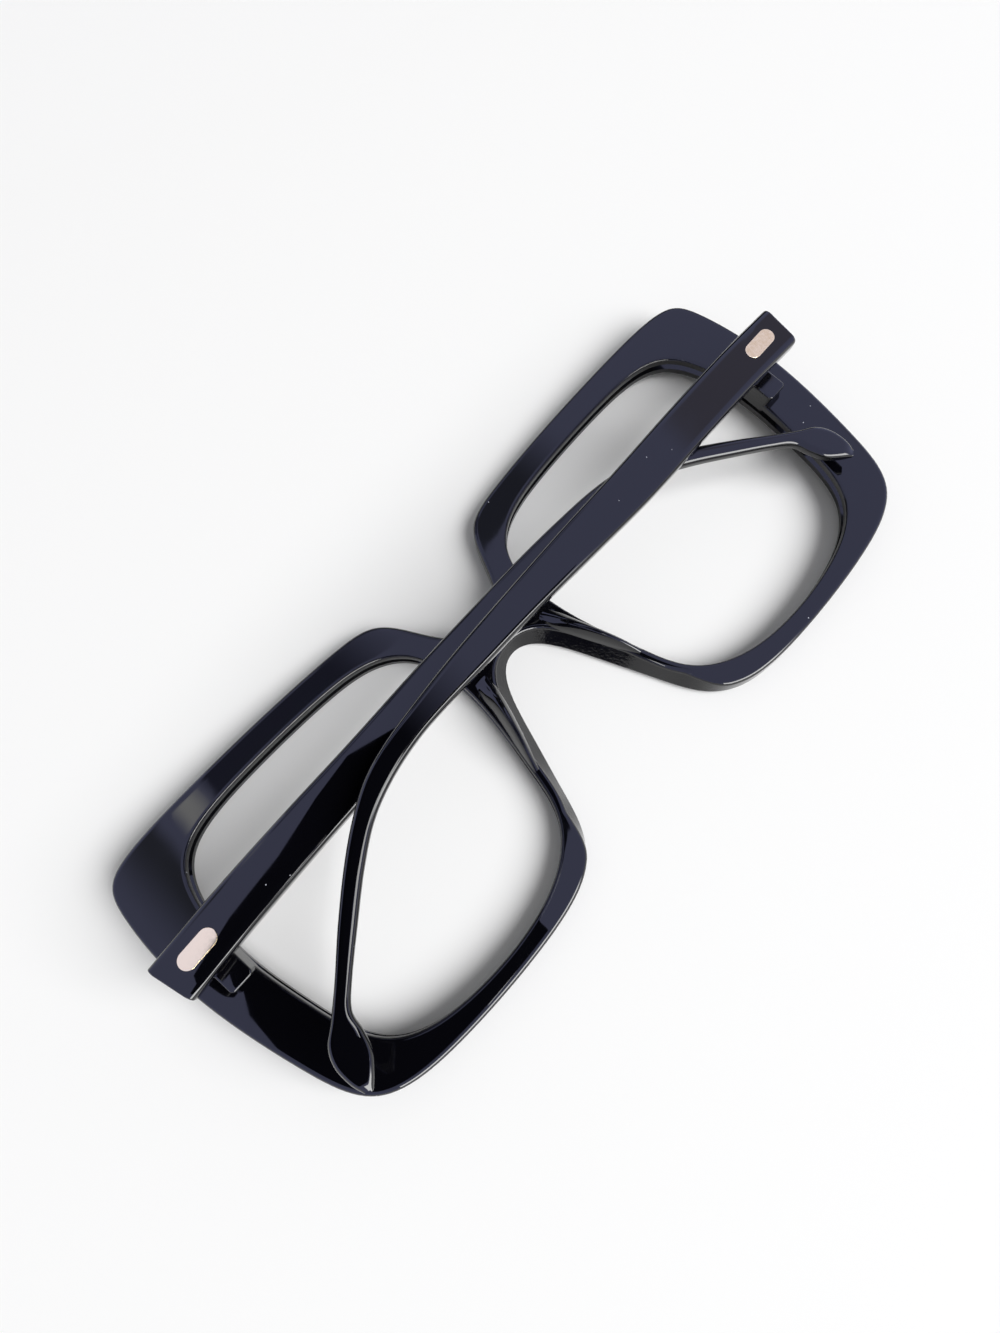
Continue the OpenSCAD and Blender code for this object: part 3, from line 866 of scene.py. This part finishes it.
def make_card(name, corners, colour, strength=1, fades=()):
    """Card of a studio that shows only in the gloss: a bright one is a window, a dark one a flag.

    A card with fades passes into the colour of the room over each of these stretches of x.
    """
    card = laid_circle(name, [Vector(p) * MM for p in corners])
    edit(card)
    bpy.ops.mesh.select_all(action="SELECT")
    bpy.ops.mesh.edge_face_add()
    leave_edit()
    material, tree = new_material(name)
    glow = add_node(tree, "ShaderNodeEmission", {"Color": linear(colour), "Strength": strength})
    if fades:
        at = add_node(tree, "ShaderNodeTexCoord").outputs["Object"]
        along = add_node(tree, "ShaderNodeSeparateXYZ", None, {"Vector": at}).outputs["X"]
        room = add_node(tree, "ShaderNodeEmission", {"Color": linear(ROOM_COLOUR), "Strength": ROOM_GLOSS})
    for start, end in fades:
        fade = add_node(
            tree,
            "ShaderNodeMapRange",
            {"interpolation_type": "SMOOTHSTEP", "From Min": start * MM, "From Max": end * MM},
            {"Value": along},
        )
        glow = add_node(
            tree,
            "ShaderNodeMixShader",
            None,
            {0: fade.outputs["Result"], 1: glow.outputs[0], 2: room.outputs[0]},
        )
    add_node(tree, "ShaderNodeOutputMaterial", None, {"Surface": glow.outputs[0]})
    dress(card, material)
    card.visible_camera = False
    card.visible_diffuse = False
    card.visible_transmission = False
    card.visible_shadow = False


def make_cards():
    # The dark body of the camera
    body = [
        (-72, -31), (-72, -10), (-71, 0), (-69, 4), (-60, 6), (-49, 7), (-39, 9), (-31, 10), (-21, 7),
        (-7, 7), (-7, -1), (-26, -1), (-44, -9), (-56, -20), (-52, -22), (-29, -18), (-29, -31),
    ]
    make_card("camera_body", level_card(CAMERA_Z, body), "#000000", 1, [(-24, -7)])
    # Dark flags round the nose pads
    nose = [(-24, -20), (17, -20), (17, -2), (-24, -2)]
    make_card("nose_flag", level_card(CAMERA_Z + 1, nose), DARK)
    pads = [(-15, 75), (25, 75), (25, 115), (-15, 115)]
    make_card("pad_flag", level_card(FLAG_Z, pads), DARK)
    make_card("pad_screen", upright_card((-60, 190), (260, 60), 0, FLAG_Z), DARK)
    # Soft dark flags over the brow side
    for name, colour, x0, x1, y0, fades in (
        ("brow_flag_left", "#6f7293", -54, 2, 42, [(-51, -54), (-18, 2)]),
        ("brow_flag_right", "#7f8398", 18, 62, 42, [(28, 18), (44, 62)]),
        ("brow_flag_end", "#9094a8", -80, -63, 28, [(-68, -80), (-67, -63)]),
    ):
        outline = [(x0, y0), (x1, y0), (x1, 65), (x0, 65)]
        make_card(name, level_card(FLAG_Z, outline), colour, 1, fades)
    # A lamp that draws a soft streak on the left rim
    streak = [(-63, 44), (-53, 44), (-51, 52), (-61, 52)]
    make_card("lamp_streak", level_card(FLAG_Z, streak), WHITE, 2.8, [(-58.5, -62.5), (-57.5, -52)])
    # A neutral grey wall that the butt of the upper temple mirrors
    wall = [(300, -15), (480, -15), (480, 30), (300, 30)]
    make_card("grey_wall", level_card(WALL_Z, wall), "#d0cbe7", 1, [(330, 300)])
    # Bright windows on the chin side, one close and one across the room
    make_card("strip_window", upright_card((-45, -39), (-8, -6), 30, 52), WHITE, 8)
    window = upright_card((-300, -400), (230, -400), 30, 230)
    make_card("window", window, WHITE, 12, [(110, 200)])


def make_world():
    """White for the camera, pale daylight blue in the gloss, and plain white light for the rest."""
    world = bpy.data.worlds.new("soft_room")
    bpy.context.scene.world = world
    world.use_nodes = True
    tree = world.node_tree
    tree.nodes.clear()
    path = add_node(tree, "ShaderNodeLightPath")
    seen = add_node(tree, "ShaderNodeBackground", {"Color": linear(WHITE), "Strength": 1.0})
    gloss = add_node(tree, "ShaderNodeBackground", {"Color": linear(ROOM_COLOUR), "Strength": ROOM_GLOSS})
    light = add_node(tree, "ShaderNodeBackground", {"Color": linear(WHITE), "Strength": ROOM_LIGHT})
    lit = add_node(
        tree,
        "ShaderNodeMixShader",
        None,
        {
            "Fac": path.outputs["Is Glossy Ray"],
            1: light.outputs["Background"],
            2: gloss.outputs["Background"],
        },
    )
    mix = add_node(
        tree,
        "ShaderNodeMixShader",
        None,
        {"Fac": path.outputs["Is Camera Ray"], 1: lit.outputs["Shader"], 2: seen.outputs["Background"]},
    )
    add_node(tree, "ShaderNodeOutputWorld", None, {"Surface": mix.outputs["Shader"]})


def make_lamp():
    """One large soft lamp on the chin side of the frame, for its shadow."""
    lamp = bpy.data.lights.new("soft_lamp", "AREA")
    lamp.shape = "DISK"
    lamp.size = LAMP_SIZE
    lamp.energy = LAMP_POWER
    obj = bpy.data.objects.new("soft_lamp", lamp)
    bpy.context.scene.collection.objects.link(obj)
    obj.visible_glossy = False
    obj.location = LAMP_AT
    obj.rotation_euler = (-LAMP_AT).to_track_quat("-Z", "Y").to_euler()


def make_camera():
    """Camera of the photograph: close above the frame, turned so that the width runs up to the right."""
    data = bpy.data.cameras.new("camera")
    data.sensor_width = CAMERA_SENSOR
    data.lens = CAMERA_LENS
    data.clip_start = CAMERA_NEAR
    camera = bpy.data.objects.new("camera", data)
    bpy.context.scene.collection.objects.link(camera)
    turn = Matrix((CAMERA_RIGHT, -CAMERA_DOWN, -CAMERA_FORWARD)).transposed().to_4x4()
    camera.matrix_world = Matrix.Translation(CAMERA_AT) @ turn
    bpy.context.scene.camera = camera


# Pieces and their finishes
dress(front_piece(), black_acetate("black_acetate_front", cut_walls=True))
acetate = black_acetate("black_acetate")
for make in (nose_pad_piece, temple_piece):
    for side in ("right", "left"):
        dress(make(side), acetate)
# Pale rose gold plate over polished brass: soft, so handling leaves it a faint haze
rose_gold = metal("rose_gold_plate", "#fae4b6", 0.16, (0.5, 0.5, 0.5), 0.001)
for side in ("right", "left"):
    dress(inlay_piece(side), rose_gold)
# Nickel silver, stamped from rolled strip and brushed: fine lines, drawn coarse enough to show
nickel_silver = metal("brushed_nickel_silver", "#c9c2b4", 0.3, (3, 0.12, 3), 0.006)
# Stainless steel, turned on a lathe: fine rings round the screw
screw_steel = metal("turned_stainless_steel", "#c6c6c4", 0.25, (3, 0.1, 3), 0.004)
for node, piece in frame["nodes"].items():
    if "leaf" in node or "core" in node:
        dress(piece, nickel_silver)
    elif "screw" in node:
        dress(piece, screw_steel)

make_table()
make_world()
make_lamp()
make_cards()
make_camera()
bpy.context.scene.view_settings.view_transform = "Standard"
